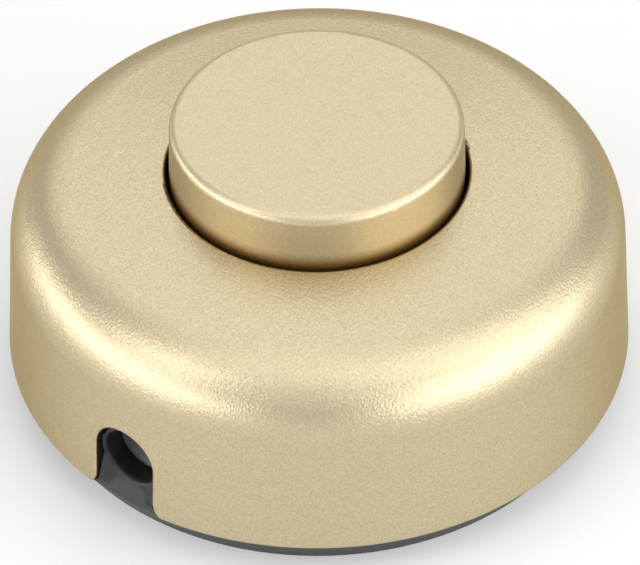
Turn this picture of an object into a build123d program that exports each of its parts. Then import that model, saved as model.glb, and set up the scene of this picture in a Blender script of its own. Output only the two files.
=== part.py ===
from build123d import *
import math
import os

# An inline foot switch for a table or floor lamp: a round housing that stands on the floor, with the
# cord going in at one side and out at the other, and a large button on top. Each press of the button
# turns a small drum by one step, and every second step joins the two halves of the switched wire.
#
# Sizes are in millimetres. The origin is at the middle of the underside, z is up and x runs along
# the cord. The cord comes in at -x and leaves at +x.

# Cover
COVER_RADIUS = 31.0       # at its lower edge
EDGE_HEIGHT = 3.7         # lower edge above the floor
SIDE_DRAFT = 4.0          # degrees
TOP_HEIGHT = 24.45        # lip of the button hole above the floor
TOP_SLOPE = 7.0           # degrees, falling away from the hole
CORNER_RADIUS = 6.9
EDGE_ROUND = 0.25
LIP_ROUND = 0.35
COVER_WALL = 1.9
HOLE_RADIUS = 14.67
COLLAR_WALL = 1.6         # guide collar of the button, below the hole

# Button
BUTTON_HEIGHT = 30.35     # top above the floor, at rest
BUTTON_GAP = 0.35         # around it, in the hole
BUTTON_DRAFT = 2.0        # degrees, above the hole
BUTTON_ROUND = 0.9
BUTTON_ROOF = 1.8
BUTTON_WALL = 1.6
TRAVEL = 4.0
LUG_COUNT = 4
LUG_WIDTH = 3.6
LUG_HEIGHT = 1.3
LUG_REACH = 1.35          # beyond the button's skirt
LUG_GAP = 0.4             # at the sides of a lug and below the slot's end
SLOT_BELOW_LIP = 5.7      # upper end of the lug's slot below the hole's lip
SKIRT_BELOW_LUG = 0.2

# Base
FOOT_RADIUS = 28.45       # of the circle that it stands on
FOOT_ROUND = 0.3
FOOT_RIM = 1.9            # width of the ring that it stands on
UNDERSIDE = 1.4           # height of the recessed underside above the floor
RIM_STEP = 0.4            # the base stays this far inside the cover's lower edge
SPIGOT_HEIGHT = 2.5
SPIGOT_WALL = 1.4
SPIGOT_GAP = 0.2

# Screws that hold cover and base together
SCREW_ANGLES = (40, 140, 270)
SCREW_INSET = 5.2         # from the outside of the base's spigot
SCREW_RADIUS = 1.25
SCREW_HEAD_RADIUS = 2.6
SCREW_HEAD = 1.6
SCREW_REACH = 8.0         # into the cover's boss
SCREW_SLACK = 0.05        # around a screw in its own thread
SCREW_HOLE_GAP = 0.4      # around a screw and its head in the piece that it holds
COVER_BOSS_RADIUS = 3.0
BASE_BOSS_RADIUS = 4.0
BOSS_RIB = 1.4
BOSS_RIB_RISE = 2.5       # foot of the rib above the base's spigot

# Cord entries
CORD_HEIGHT = 8.5
NOTCH_HEIGHT = 9.1        # centre of the notch's arch
NOTCH_RADIUS = 3.4        # half the notch's width, and its arch
NOTCH_FLARE = 1.05        # width of a flared foot
NOTCH_FLARE_RISE = 1.7    # height of a flared foot
BORE_RADIUS = 2.95
BORE_LIP = 0.3
BORE_CHAMFER = 0.2        # at its inner end
RING_RECESS = 1.03        # end of the ring around the bore's mouth, behind the cover's skin
TONGUE = 1.8              # height of the tongue under the ring, from the cover's lower edge
TONGUE_ROUND = 0.4
BUSHING_GAP = 0.1         # inside the notch and the cover's wall
FLANGE_RADIUS = 4.8
FLANGE = 0.9
SEAT_WALL = 1.3           # of the carrier, behind the flange
SEAT_SLOT = 3.5           # half the width of the slot in that wall
SEAT_GAP = 0.05           # between pieces that are seated in each other

# Carrier
CARRIER_PLATE = 1.5
CARRIER_GAP = 0.6         # inside the base's spigot
CARRIER_SCREW_STANDOFF = 1.25  # of the head from the bearing cap
CARRIER_SCREW_RADIUS = 1.0
CARRIER_SCREW_HEAD_RADIUS = 2.0
CARRIER_SCREW_HEAD = 1.2
CARRIER_SCREW_REACH = 2.7  # into the base
CARRIER_BOSS_RADIUS = 2.6
CARRIER_BOSS = 0.9         # below the recessed underside
POCKET_RIB = 1.0
POCKET_HEIGHT = 3.0

# Drum and its bearing
STEPS = 8                  # of the drum in one turn
TOOTH_OVER = 0.87          # tooth beyond the pawl's line of push
TOOTH_UNDER = 0.93         # and inside it
RATCHET_WIDTH = 3.0
DRUM_LENGTH = 11.2
TRACK_STEP = 0.5           # contact track inside the ratchet's tips
FLATS_STEP = 1.0           # detent flats inside the ratchet's tips
RUN_GAP = 0.3              # between moving and fixed pieces
AXLE_RADIUS = 1.5
AXLE_RUN = 0.04            # radial clearance of the drum on its axle
AXLE_CHAMFER = 0.25
CHEEK = 2.0
CHEEK_HALF_WIDTH = 3.6
CAP_PLATE = 1.5
CAP_HALF_WIDTH = 4.6
CAP_LEG = 1.4
CAP_LEG_HALF_WIDTH = 2.6
SNAP_HALF_WIDTH = 1.3
SNAP_HEIGHT = 1.7
SNAP_REACH = 0.9
SNAP_BELOW_AXLE = 1.0      # top of the snap below the axle's underside
SNAP_GAP = 0.15
CAP_SPIGOT_RADIUS = 3.0    # inside the return spring
CAP_SPIGOT_RISE = 2.2

# Springs and pawl
SPRING_RADIUS = 4.1        # to the middle of the wire
SPRING_WIRE = 0.8
SPRING_TURNS = 4.5
SPRING_SIDES = 8           # of the wire's section
SPRING_RING_GAP = 0.7
SPRING_RING_WALL = 1.0
SPRING_RING_DEPTH = 1.8
PAWL_WIDTH = 2.6
PAWL_STRIP = 0.45
PAWL_TIP_RADIUS = 0.45
PAWL_CLEAR = 0.15          # above the tooth's flank, at rest
PAWL_LEAN = 2.4            # outwards, from the tip to the straight shank
PAWL_RISE = 4.6            # height of the leaning stretch
PAWL_BEND = 3.0
PAWL_GRIP = 4.0            # of the shank in the button
PAWL_BLOCK_WALL = 1.1
DETENT_STRIP = 0.35
DETENT_WIDTH = 3.2
DETENT_SPAN = 7.5          # half its length
DETENT_FOOT = 1.5
DETENT_CLEAR = 0.06        # under the drum's flat
DETENT_BEND = 0.8
DETENT_STOP = 1.0

# Contacts and terminals
STAR_ARM = 2.6
STAR_LENGTH = 3.2
STAR_GAP = 0.03
STAR_RECESS = 0.2
STRIP = 0.45
STRIP_WIDTH = 3.5
STRIP_BEND = 0.7
BLADE_OVER_AXLE = 1.9
CONTACT_CLEAR = 0.12       # between rivet and drum
RIVET_RADIUS = 1.3
RIVET_HEAD = 0.8
RIVET_EDGE = 0.25
RIVET_SHANK = 0.7
RIVET_TAIL = 0.4
TERMINAL_ANGLE = 53.6      # degrees off the cord line
TERMINAL_STANDOFF = 2.0    # of its screw's head from the button's guide collar
TERMINAL_SIZE = (6.0, 5.6, 6.5)
NEUTRAL_LENGTH = 13.0
NEUTRAL_SCREW_X = 3.6
WIRE_RADIUS = 1.6
WIRE_HEIGHT = 2.4          # of the wire's bore above the terminal's foot
TERMINAL_CHAMFER = 0.3
TERMINAL_SCREW_RADIUS = 1.3
TERMINAL_SCREW_HEAD_RADIUS = 2.0
TERMINAL_SCREW_HEAD = 1.3

# Cord clamps
CLAMP_WIDTH = 4.6
CLAMP_SCREW_Y = 6.2
CLAMP_BAR = 2.0
CLAMP_WALL = 1.7
CLAMP_ROUND = 0.5
CLAMP_STANDOFF = 0.6       # from the wall behind the bushing
CORD_RADIUS = 3.0          # thickest cord that the clamp takes
CLAMP_POST_RADIUS = 2.6
CLAMP_POST_RISE = 0.5      # above the cord's centre line
CLAMP_SCREW_RADIUS = 1.1
CLAMP_SCREW_HEAD_RADIUS = 2.0
CLAMP_SCREW_HEAD = 1.4
CLAMP_SCREW_REACH = 3.2    # into the post
CRADLE_DEPTH = 0.7
SLOT_WIDTH = 0.7           # screwdriver slots
SLOT_DEPTH = 0.6

# Heights and radii that follow from the driving dimensions
TAN_DRAFT = math.tan(math.radians(SIDE_DRAFT))
TAN_SLOPE = math.tan(math.radians(TOP_SLOPE))
HALF_STEP = math.pi / STEPS


def side_radius(z, inset=0.0):
    """Radius of the cover's side at height z, or of a skin that lies inset below it."""
    return COVER_RADIUS - (z - EDGE_HEIGHT) * TAN_DRAFT - inset / math.cos(math.radians(SIDE_DRAFT))


def top_height(radius, inset=0.0):
    """Height of the cover's top at a radius, or of a skin that lies inset below it."""
    rise = (HOLE_RADIUS + LIP_ROUND - radius) * TAN_SLOPE
    return TOP_HEIGHT + rise - inset / math.cos(math.radians(TOP_SLOPE))


def corner(inset=0.0):
    """Where the cover's side and top would meet without the round between them."""
    side_at_floor = side_radius(0.0, inset)
    top_at_axis = top_height(0.0, inset)
    z = (top_at_axis - side_at_floor * TAN_SLOPE) / (1 - TAN_SLOPE * TAN_DRAFT)
    return side_radius(z, inset), z


collar_radius = HOLE_RADIUS + COLLAR_WALL
button_radius = HOLE_RADIUS - BUTTON_GAP
button_ceiling = BUTTON_HEIGHT - BUTTON_ROOF

seat_height = EDGE_HEIGHT + SPIGOT_HEIGHT
spigot_outer = side_radius(seat_height, COVER_WALL) - SPIGOT_GAP
spigot_inner = spigot_outer - SPIGOT_WALL
screw_shoulder = UNDERSIDE + SCREW_HEAD
screw_circle = spigot_outer - SCREW_INSET

carrier_top = EDGE_HEIGHT + CARRIER_PLATE
carrier_radius = spigot_inner - CARRIER_GAP

push_radius = TRAVEL / 2 / math.tan(HALF_STEP)
tip_radius = push_radius + TOOTH_OVER
root_radius = push_radius - TOOTH_UNDER
track_radius = tip_radius - TRACK_STEP
flats_radius = tip_radius - FLATS_STEP
drum_half = DRUM_LENGTH / 2
ratchet_half = RATCHET_WIDTH / 2
axle_height = carrier_top + tip_radius + RUN_GAP
cheek_inner = drum_half + RUN_GAP
cheek_outer = cheek_inner + CHEEK
cap_low = axle_height + tip_radius + RUN_GAP
cap_top = cap_low + CAP_PLATE
cap_reach = cheek_outer + SEAT_GAP + CAP_LEG
carrier_screw_y = cap_reach + CARRIER_SCREW_STANDOFF + CARRIER_SCREW_HEAD_RADIUS

slot_top = TOP_HEIGHT - SLOT_BELOW_LIP
lug_top = slot_top - LUG_GAP
lug_low = lug_top - LUG_HEIGHT
skirt_low = lug_low - SKIRT_BELOW_LUG
collar_low = lug_low - TRAVEL - 2 * LUG_GAP

pawl_tip_z = axle_height + TRAVEL / 2 + PAWL_TIP_RADIUS / math.cos(HALF_STEP) + PAWL_CLEAR
pawl_x = push_radius + PAWL_LEAN

rim_radius = COVER_RADIUS - RIM_STEP
ring_radius = NOTCH_RADIUS - BUSHING_GAP
ring_face = side_radius(CORD_HEIGHT) - RING_RECESS
tongue_top = EDGE_HEIGHT + TONGUE
tongue_lean = (rim_radius - ring_face) / (CORD_HEIGHT - ring_radius - EDGE_HEIGHT)
tongue_face = rim_radius - TONGUE * tongue_lean
flange_skin = side_radius(CORD_HEIGHT + FLANGE_RADIUS, COVER_WALL) - BUSHING_GAP
flange_front = math.sqrt(flange_skin**2 - FLANGE_RADIUS**2)
flange_back = flange_front - FLANGE
seat_back = flange_back - SEAT_GAP - SEAT_WALL

clamp_x = seat_back - CLAMP_STANDOFF - CLAMP_WIDTH / 2
clamp_seat = CORD_HEIGHT + CLAMP_POST_RISE

blade_x = track_radius + CONTACT_CLEAR + RIVET_HEAD
strip_y = -drum_half + STAR_RECESS + STAR_LENGTH / 2
terminal_circle = collar_radius + TERMINAL_STANDOFF + TERMINAL_SCREW_HEAD_RADIUS
terminal_x = terminal_circle * math.cos(math.radians(TERMINAL_ANGLE))
terminal_y = -terminal_circle * math.sin(math.radians(TERMINAL_ANGLE))
terminal_low = carrier_top + STRIP
neutral_y = terminal_circle


# Small helpers
def block(x, y, z):
    """Box between two limits along each axis."""
    centre = Pos((x[0] + x[1]) / 2, (y[0] + y[1]) / 2, (z[0] + z[1]) / 2)
    return centre * Box(x[1] - x[0], y[1] - y[0], z[1] - z[0])


def post(radius, low, high, x=0.0, y=0.0):
    """Upright cylinder between two heights."""
    return Pos(x, y, (low + high) / 2) * Cylinder(radius, high - low)


def bar_x(radius, low, high, y=0.0, z=0.0):
    """Cylinder along x."""
    return Pos((low + high) / 2, y, z) * Rot(0, 90, 0) * Cylinder(radius, high - low)


def bar_y(radius, low, high, x=0.0, z=0.0):
    """Cylinder along y."""
    return Pos(x, (low + high) / 2, z) * Rot(90, 0, 0) * Cylinder(radius, high - low)


def turned(points, radii):
    """Solid of revolution about z from a closed outline of (radius, height) corners."""
    outline = make_face(FilletPolyline(*points, radius=radii, close=True))
    return revolve(Plane.XZ * outline, Axis.Z)


def along_y(face, low, high):
    """Prism of an (x, z) face between two values of y."""
    return extrude(Plane.XZ.offset(-low) * face, -(high - low))


def strip_face(points, bend, thickness):
    """Face of a bent strip that follows the points, in the plane of the points."""
    radii = [bend] * (len(points) - 2)
    return trace(FilletPolyline(*points, radius=radii), line_width=thickness)


def polar(radius, degrees):
    """Point on a circle about the origin."""
    angle = math.radians(degrees)
    return radius * math.cos(angle), radius * math.sin(angle)


def screw(radius, head_radius, head, length):
    """Slotted screw that points down, with the underside of its head at the origin."""
    half = SLOT_WIDTH / 2
    slot = block((-head_radius, head_radius), (-half, half), (head - SLOT_DEPTH, head))
    return post(head_radius, 0, head) + post(radius, -length, 0) - slot


def other_side(shape):
    """The same piece at the other cord entry."""
    return mirror(shape, about=Plane.YZ)


# Housing
def notch_face(half_width):
    """Outline of a cord notch in the (y, z) plane, with an arch above and flared feet."""
    gap = NOTCH_RADIUS - half_width
    flare, rise = NOTCH_FLARE + gap, NOTCH_FLARE_RISE + gap
    foot = EDGE_HEIGHT
    foot_y, knee = half_width + flare, foot + rise
    line = Polyline((-half_width, knee), (-half_width, NOTCH_HEIGHT))
    line += ThreePointArc(
        (-half_width, NOTCH_HEIGHT), (0, NOTCH_HEIGHT + half_width), (half_width, NOTCH_HEIGHT)
    )
    line += Line((half_width, NOTCH_HEIGHT), (half_width, knee))
    line += EllipticalCenterArc((foot_y, knee), flare, rise, 180, arc_size=90)
    line += Line((foot_y, foot), (-foot_y, foot))
    line += EllipticalCenterArc((-foot_y, knee), flare, rise, 270, arc_size=90)
    return make_face(line)


def cover():
    """Drafted dome with a guide collar under its hole, screw bosses and two cord notches."""
    shell = turned(
        [
            (side_radius(EDGE_HEIGHT), EDGE_HEIGHT),
            corner(),
            (HOLE_RADIUS, top_height(HOLE_RADIUS)),
            (HOLE_RADIUS, collar_low),
            (collar_radius, collar_low),
            (collar_radius, top_height(collar_radius, COVER_WALL)),
            corner(COVER_WALL),
            (side_radius(EDGE_HEIGHT, COVER_WALL), EDGE_HEIGHT),
        ],
        [0, CORNER_RADIUS, LIP_ROUND, 0, 0, 0, CORNER_RADIUS - COVER_WALL, 0],
    )
    core = turned(
        [
            (0, EDGE_HEIGHT),
            (side_radius(EDGE_HEIGHT, COVER_WALL / 2), EDGE_HEIGHT),
            corner(COVER_WALL / 2),
            (0, top_height(0, COVER_WALL / 2)),
        ],
        [0, 0, CORNER_RADIUS - COVER_WALL / 2, 0],
    )
    bosses = []
    pilots = []
    for angle in SCREW_ANGLES:
        x, y = polar(screw_circle, angle)
        half = BOSS_RIB / 2
        rib = Rot(0, 0, angle) * block(
            (screw_circle, COVER_RADIUS), (-half, half), (seat_height + BOSS_RIB_RISE, TOP_HEIGHT)
        )
        bosses.append(post(COVER_BOSS_RADIUS, seat_height, TOP_HEIGHT, x, y) + rib)
        pilot_top = seat_height + SCREW_REACH + SCREW_HOLE_GAP
        pilots.append(post(SCREW_RADIUS + SCREW_SLACK, seat_height, pilot_top, x, y))
    shape = shell + [boss & core for boss in bosses]
    half = LUG_WIDTH / 2 + LUG_GAP
    slot = block((button_radius, collar_radius + LUG_GAP), (-half, half), (0, slot_top))
    slots = [Rot(0, 0, (i + 0.5) * 360 / LUG_COUNT) * slot for i in range(LUG_COUNT)]
    depth = COVER_RADIUS - flange_front
    notch = extrude(Plane.YZ.offset(flange_front) * notch_face(NOTCH_RADIUS), depth)
    shape -= pilots + slots + [notch, other_side(notch)]
    skin = shape.faces().filter_by(GeomType.CONE).sort_by(SortBy.AREA)[-1]
    arch_top = NOTCH_HEIGHT + NOTCH_RADIUS
    return fillet([edge for edge in skin.edges() if edge.center().Z < arch_top], EDGE_ROUND)


def base():
    """Dish with a tapered rim, a spigot inside the cover and bosses for the screws."""
    dish = turned(
        [
            (0, UNDERSIDE),
            (FOOT_RADIUS - FOOT_RIM, UNDERSIDE),
            (FOOT_RADIUS - FOOT_RIM, 0),
            (FOOT_RADIUS, 0),
            (rim_radius, EDGE_HEIGHT),
            (spigot_outer, EDGE_HEIGHT),
            (spigot_outer, seat_height),
            (spigot_inner, seat_height),
            (spigot_inner, EDGE_HEIGHT),
            (0, EDGE_HEIGHT),
        ],
        [0, 0, 0, FOOT_ROUND, 0, 0, 0, 0, 0, 0],
    )
    entry_half = FLANGE_RADIUS + POCKET_RIB + CARRIER_GAP
    entry = block(
        (-COVER_RADIUS, COVER_RADIUS), (-entry_half, entry_half), (EDGE_HEIGHT, seat_height)
    )
    bosses = []
    holes = [entry]
    for angle in SCREW_ANGLES:
        x, y = polar(screw_circle, angle)
        bosses.append(post(BASE_BOSS_RADIUS, UNDERSIDE, seat_height, x, y))
        holes.append(post(SCREW_HEAD_RADIUS + SCREW_HOLE_GAP, 0, screw_shoulder, x, y))
        holes.append(post(SCREW_RADIUS + SCREW_HOLE_GAP, screw_shoulder, seat_height, x, y))
    for y in (-carrier_screw_y, carrier_screw_y):
        bosses.append(post(CARRIER_BOSS_RADIUS, UNDERSIDE - CARRIER_BOSS, EDGE_HEIGHT, 0, y))
        depth = EDGE_HEIGHT - CARRIER_SCREW_REACH
        holes.append(post(CARRIER_SCREW_RADIUS + SCREW_SLACK, depth, EDGE_HEIGHT, 0, y))
    return dish + bosses - holes


def push_button():
    """Cap with a skirt that runs in the collar, guide lugs, and seats for spring and pawl."""
    top_radius = button_radius - (BUTTON_HEIGHT - TOP_HEIGHT) * math.tan(math.radians(BUTTON_DRAFT))
    inner_radius = button_radius - BUTTON_WALL
    cap = turned(
        [
            (0, BUTTON_HEIGHT),
            (0, button_ceiling),
            (inner_radius, button_ceiling),
            (inner_radius, skirt_low),
            (button_radius, skirt_low),
            (button_radius, TOP_HEIGHT),
            (top_radius, BUTTON_HEIGHT),
        ],
        [0, 0, 0, 0, 0, 0, BUTTON_ROUND],
    )
    inside = post(inner_radius + BUTTON_WALL / 2, skirt_low, button_ceiling + BUTTON_ROOF / 2)
    lug = block(
        (inner_radius, button_radius + LUG_REACH), (-LUG_WIDTH / 2, LUG_WIDTH / 2), (lug_low, lug_top)
    )
    lug -= post(inner_radius, lug_low, lug_top)
    lugs = [Rot(0, 0, (i + 0.5) * 360 / LUG_COUNT) * lug for i in range(LUG_COUNT)]
    ring_inner = SPRING_RADIUS + SPRING_WIRE / 2 + SPRING_RING_GAP
    ring_outer = ring_inner + SPRING_RING_WALL
    ring_low = button_ceiling - SPRING_RING_DEPTH
    roof = button_ceiling + BUTTON_ROOF / 2
    ring = post(ring_outer, ring_low, roof)
    half_grip = PAWL_WIDTH / 2 + PAWL_BLOCK_WALL
    half_strip = PAWL_STRIP / 2
    pawl_block = block(
        (pawl_x - half_strip - PAWL_BLOCK_WALL, pawl_x + half_strip + PAWL_BLOCK_WALL),
        (-half_grip, half_grip),
        (button_ceiling - PAWL_GRIP, roof),
    )
    pawl_slot = block(
        (pawl_x - half_strip - SEAT_GAP, pawl_x + half_strip + SEAT_GAP),
        (-PAWL_WIDTH / 2 - SEAT_GAP, PAWL_WIDTH / 2 + SEAT_GAP),
        (button_ceiling - PAWL_GRIP, button_ceiling),
    )
    half_rib = BOSS_RIB / 2
    rib_low = cap_top + TRAVEL + RUN_GAP
    ribs = block((-half_rib, half_rib), (-button_radius, button_radius), (rib_low, roof))
    fittings = (ring + pawl_block + (ribs & inside)) - post(ring_inner, rib_low, button_ceiling)
    return cap + lugs + (fittings - pawl_slot)


def housing_screws():
    """Three screws, up from below through the base into the cover's bosses."""
    length = seat_height - screw_shoulder + SCREW_REACH
    one = Rot(180, 0, 0) * screw(SCREW_RADIUS, SCREW_HEAD_RADIUS, SCREW_HEAD, length)
    places = [polar(screw_circle, angle) for angle in SCREW_ANGLES]
    return Compound(children=[Pos(x, y, screw_shoulder) * one for x, y in places])


def cord_bushing():
    """Bushing of the outgoing cord: a tongue and a ring in the notch, on a flange inside the cover."""
    outline = Plane.YZ.offset(flange_front) * notch_face(ring_radius)
    front = turned(
        [(0, EDGE_HEIGHT), (rim_radius, EDGE_HEIGHT), (tongue_face, tongue_top), (0, tongue_top)],
        [0, 0, TONGUE_ROUND, 0],
    )
    tongue = extrude(outline, COVER_RADIUS - flange_front) & front
    depth = (flange_front, ring_face)
    ring = block(depth, (-ring_radius, ring_radius), (CORD_HEIGHT, NOTCH_HEIGHT))
    ring += [bar_x(ring_radius, *depth, z=z) for z in (CORD_HEIGHT, NOTCH_HEIGHT)]
    flange = bar_x(FLANGE_RADIUS, flange_back, flange_front, z=CORD_HEIGHT) + block(
        (flange_back, flange_front), (-FLANGE_RADIUS, FLANGE_RADIUS), (EDGE_HEIGHT, CORD_HEIGHT)
    )
    lip_start = (ring_face - BORE_LIP, BORE_RADIUS)
    lip_end = (ring_face, BORE_RADIUS + BORE_LIP)
    line = Polyline(
        (flange_back, 0),
        (flange_back, BORE_RADIUS + BORE_CHAMFER),
        (flange_back + BORE_CHAMFER, BORE_RADIUS),
        lip_start,
    )
    line += TangentArc(lip_start, lip_end, tangent=(1, 0))
    line += Polyline(lip_end, (ring_face, 0), (flange_back, 0))
    bore = Pos(0, 0, CORD_HEIGHT) * revolve(make_face(line), Axis.X)
    return tongue + ring + flange - bore


# Carrier and drum
def cheek():
    """Bearing cheek at +y, with an open seat for the axle and a catch for the cap."""
    half = AXLE_RADIUS + SEAT_GAP
    width = (-CHEEK_HALF_WIDTH, CHEEK_HALF_WIDTH)
    shape = block(width, (cheek_inner, cheek_outer), (EDGE_HEIGHT, cap_low))
    shape -= bar_y(half, cheek_inner, cheek_outer, z=axle_height)
    shape -= block((-half, half), (cheek_inner, cheek_outer), (axle_height, cap_low))
    snap_top = axle_height - AXLE_RADIUS - SNAP_BELOW_AXLE
    catch = Polyline(
        (cheek_outer, snap_top),
        (cheek_outer, snap_top - SNAP_HEIGHT),
        (cheek_outer + SNAP_REACH, snap_top - SNAP_HEIGHT),
        close=True,
    )
    half_snap = SNAP_HALF_WIDTH
    return shape + extrude(Plane.YZ.offset(-half_snap) * make_face(catch), 2 * half_snap)


def bushing_seat():
    """Slotted wall at +x that holds the bushing's flange against the cover."""
    depth = (seat_back, flange_back - SEAT_GAP)
    half = FLANGE_RADIUS + POCKET_RIB
    wall = block(depth, (-half, half), (EDGE_HEIGHT, CORD_HEIGHT + SEAT_SLOT))
    wall += block((clamp_x, depth[1]), (-half, half), (EDGE_HEIGHT, carrier_top))
    wall -= bar_x(SEAT_SLOT, *depth, z=CORD_HEIGHT)
    return wall - block(depth, (-SEAT_SLOT, SEAT_SLOT), (CORD_HEIGHT, CORD_HEIGHT + SEAT_SLOT))


def clamp_seat_posts():
    """Two posts for a cord clamp at +x, and the hollowed cradle between them."""
    half = CLAMP_WIDTH / 2
    cradle_top = CORD_HEIGHT - CORD_RADIUS + CRADLE_DEPTH
    shape = block(
        (clamp_x - half, clamp_x + half), (-CORD_RADIUS, CORD_RADIUS), (EDGE_HEIGHT, cradle_top)
    )
    shape -= bar_x(CORD_RADIUS, clamp_x - half, clamp_x + half, z=CORD_HEIGHT)
    low = clamp_seat - CLAMP_SCREW_REACH - SCREW_HOLE_GAP
    for y in (-CLAMP_SCREW_Y, CLAMP_SCREW_Y):
        shape += post(CLAMP_POST_RADIUS, EDGE_HEIGHT, clamp_seat, clamp_x, y)
        shape -= post(CLAMP_SCREW_RADIUS + SCREW_SLACK, low, clamp_seat, clamp_x, y)
    return shape


def terminal_rib(length, x, y):
    """Low rib beside a terminal's foot, along x; y is its side towards -y."""
    top = carrier_top + POCKET_HEIGHT
    return block((x - length / 2, x + length / 2), (y, y + POCKET_RIB), (EDGE_HEIGHT, top))


def contact_carrier():
    """Insulating chassis on the base: bearing cheeks, clamp posts, bushing seats and pockets."""
    plate = post(carrier_radius, EDGE_HEIGHT, carrier_top)
    reach = flange_back - SEAT_GAP
    plate &= block((-reach, reach), (-carrier_radius, carrier_radius), (EDGE_HEIGHT, carrier_top))
    clear = BASE_BOSS_RADIUS + CARRIER_GAP
    for angle in SCREW_ANGLES:
        plate -= post(clear, EDGE_HEIGHT, carrier_top, *polar(screw_circle, angle))
    for y in (-carrier_screw_y, carrier_screw_y):
        plate -= post(CARRIER_SCREW_RADIUS + SCREW_HOLE_GAP, EDGE_HEIGHT, carrier_top, 0, y)
    beside = TERMINAL_SIZE[1] / 2 + SEAT_GAP
    line_rib = terminal_rib(TERMINAL_SIZE[0], terminal_x, terminal_y - beside - POCKET_RIB)
    neutral_ribs = [
        terminal_rib(NEUTRAL_LENGTH, 0, neutral_y - beside - POCKET_RIB),
        terminal_rib(NEUTRAL_LENGTH, 0, neutral_y + beside),
    ]
    detent_x = DETENT_SPAN + SEAT_GAP
    detent_y = (ratchet_half + drum_half) / 2
    detent_stop = block(
        (detent_x, detent_x + DETENT_STOP),
        (detent_y - DETENT_WIDTH / 2, detent_y + DETENT_WIDTH / 2),
        (EDGE_HEIGHT, carrier_top + DETENT_STOP),
    )
    paired = [bushing_seat(), clamp_seat_posts(), line_rib, detent_stop]
    sides = paired + [other_side(shape) for shape in paired]
    return plate + sides + [cheek(), mirror(cheek(), about=Plane.XZ)] + neutral_ribs


def carrier_screws():
    """Two screws, down through the carrier into the base."""
    length = CARRIER_PLATE + CARRIER_SCREW_REACH - SCREW_HOLE_GAP
    one = screw(CARRIER_SCREW_RADIUS, CARRIER_SCREW_HEAD_RADIUS, CARRIER_SCREW_HEAD, length)
    return Compound(
        children=[Pos(0, y, carrier_top) * one for y in (-carrier_screw_y, carrier_screw_y)]
    )


def star_prism(arm, low, high, radius):
    """Star with an arm for every second step of the drum, clear of the cord line, with round tips."""
    half = arm / 2
    spoke = block((0, radius), (low, high), (-half, half))
    spokes = [Rot(0, (2 * i + 1) * 360 / STEPS, 0) * spoke for i in range(STEPS // 2)]
    return (spokes[0] + spokes[1:]) & bar_y(radius, low, high)


def ratchet_drum():
    """Drum that steps: ratchet teeth in the middle, contact track at -y, detent flats at +y."""
    corners = []
    for tooth in range(STEPS):
        angle = (2 * tooth + 1) * 180 / STEPS
        corners += [polar(tip_radius, angle), polar(root_radius, angle)]
    ratchet = along_y(make_face(Polyline(*corners, close=True)), -ratchet_half, ratchet_half)
    track = bar_y(track_radius, -drum_half, -ratchet_half)
    flats = along_y(
        RegularPolygon(flats_radius, STEPS, major_radius=False, rotation=180 / STEPS),
        ratchet_half,
        drum_half,
    )
    shape = ratchet + track + flats
    shape -= star_prism(
        STAR_ARM + 2 * STAR_GAP, -drum_half, -drum_half + STAR_RECESS + STAR_LENGTH, tip_radius
    )
    shape -= bar_y(AXLE_RADIUS + AXLE_RUN, -drum_half, drum_half)
    return Pos(0, 0, axle_height) * shape


def contact_star():
    """Brass star in the end of the drum; its four arm tips lie in the contact track."""
    low = -drum_half + STAR_RECESS
    shape = star_prism(STAR_ARM, low, low + STAR_LENGTH, track_radius)
    shape -= bar_y(AXLE_RADIUS + RUN_GAP, low, low + STAR_LENGTH)
    return Pos(0, 0, axle_height) * shape


def drum_axle():
    """Steel pin across the two cheeks."""
    pin = bar_y(AXLE_RADIUS, -cheek_outer, cheek_outer, z=axle_height)
    return chamfer(pin.edges().filter_by(GeomType.CIRCLE), AXLE_CHAMFER)


def bearing_cap():
    """Cap over the cheeks: tongues hold the axle down, legs clip on, a spigot centres the spring."""
    shape = block((-CAP_HALF_WIDTH, CAP_HALF_WIDTH), (-cap_reach, cap_reach), (cap_low, cap_top))
    shape += post(CAP_SPIGOT_RADIUS, cap_top, cap_top + CAP_SPIGOT_RISE)
    snap_top = axle_height - AXLE_RADIUS - SNAP_BELOW_AXLE
    snap_low = snap_top - SNAP_HEIGHT
    tongue = block(
        (-AXLE_RADIUS + SEAT_GAP, AXLE_RADIUS - SEAT_GAP),
        (cheek_inner + SEAT_GAP, cheek_outer - SEAT_GAP),
        (axle_height + AXLE_RADIUS + SEAT_GAP, cap_low),
    )
    leg = block(
        (-CAP_LEG_HALF_WIDTH, CAP_LEG_HALF_WIDTH),
        (cheek_outer + SEAT_GAP, cap_reach),
        (carrier_top + SEAT_GAP, cap_low),
    )
    half_window = SNAP_HALF_WIDTH + SNAP_GAP
    leg -= block(
        (-half_window, half_window), (cheek_outer, cap_reach), (snap_low - SNAP_GAP, snap_top + SNAP_GAP)
    )
    for part in (tongue, leg):
        shape += [part, mirror(part, about=Plane.XZ)]
    return shape


# Springs and pawl
def return_spring():
    """Coil spring between the cap and the button's ceiling."""
    half = SPRING_WIRE / 2
    low = cap_top + half
    height = button_ceiling - SEAT_GAP - half - low
    coil = Helix(height / SPRING_TURNS, height, SPRING_RADIUS, center=(0, 0, low))
    wire = RegularPolygon(half, SPRING_SIDES, major_radius=False, rotation=180 / SPRING_SIDES)
    return sweep(Plane(coil @ 0, z_dir=coil % 0) * wire, path=coil, is_frenet=True)


def drive_pawl():
    """Steel strip in the button, whose rounded tip stands over a ratchet tooth's flank."""
    tip = (push_radius, pawl_tip_z)
    points = [tip, (pawl_x, pawl_tip_z + PAWL_RISE), (pawl_x, button_ceiling)]
    half = PAWL_WIDTH / 2
    strip = strip_face(points, PAWL_BEND, PAWL_STRIP) + Pos(*tip) * Circle(PAWL_TIP_RADIUS)
    return along_y(strip, -half, half)


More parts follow.
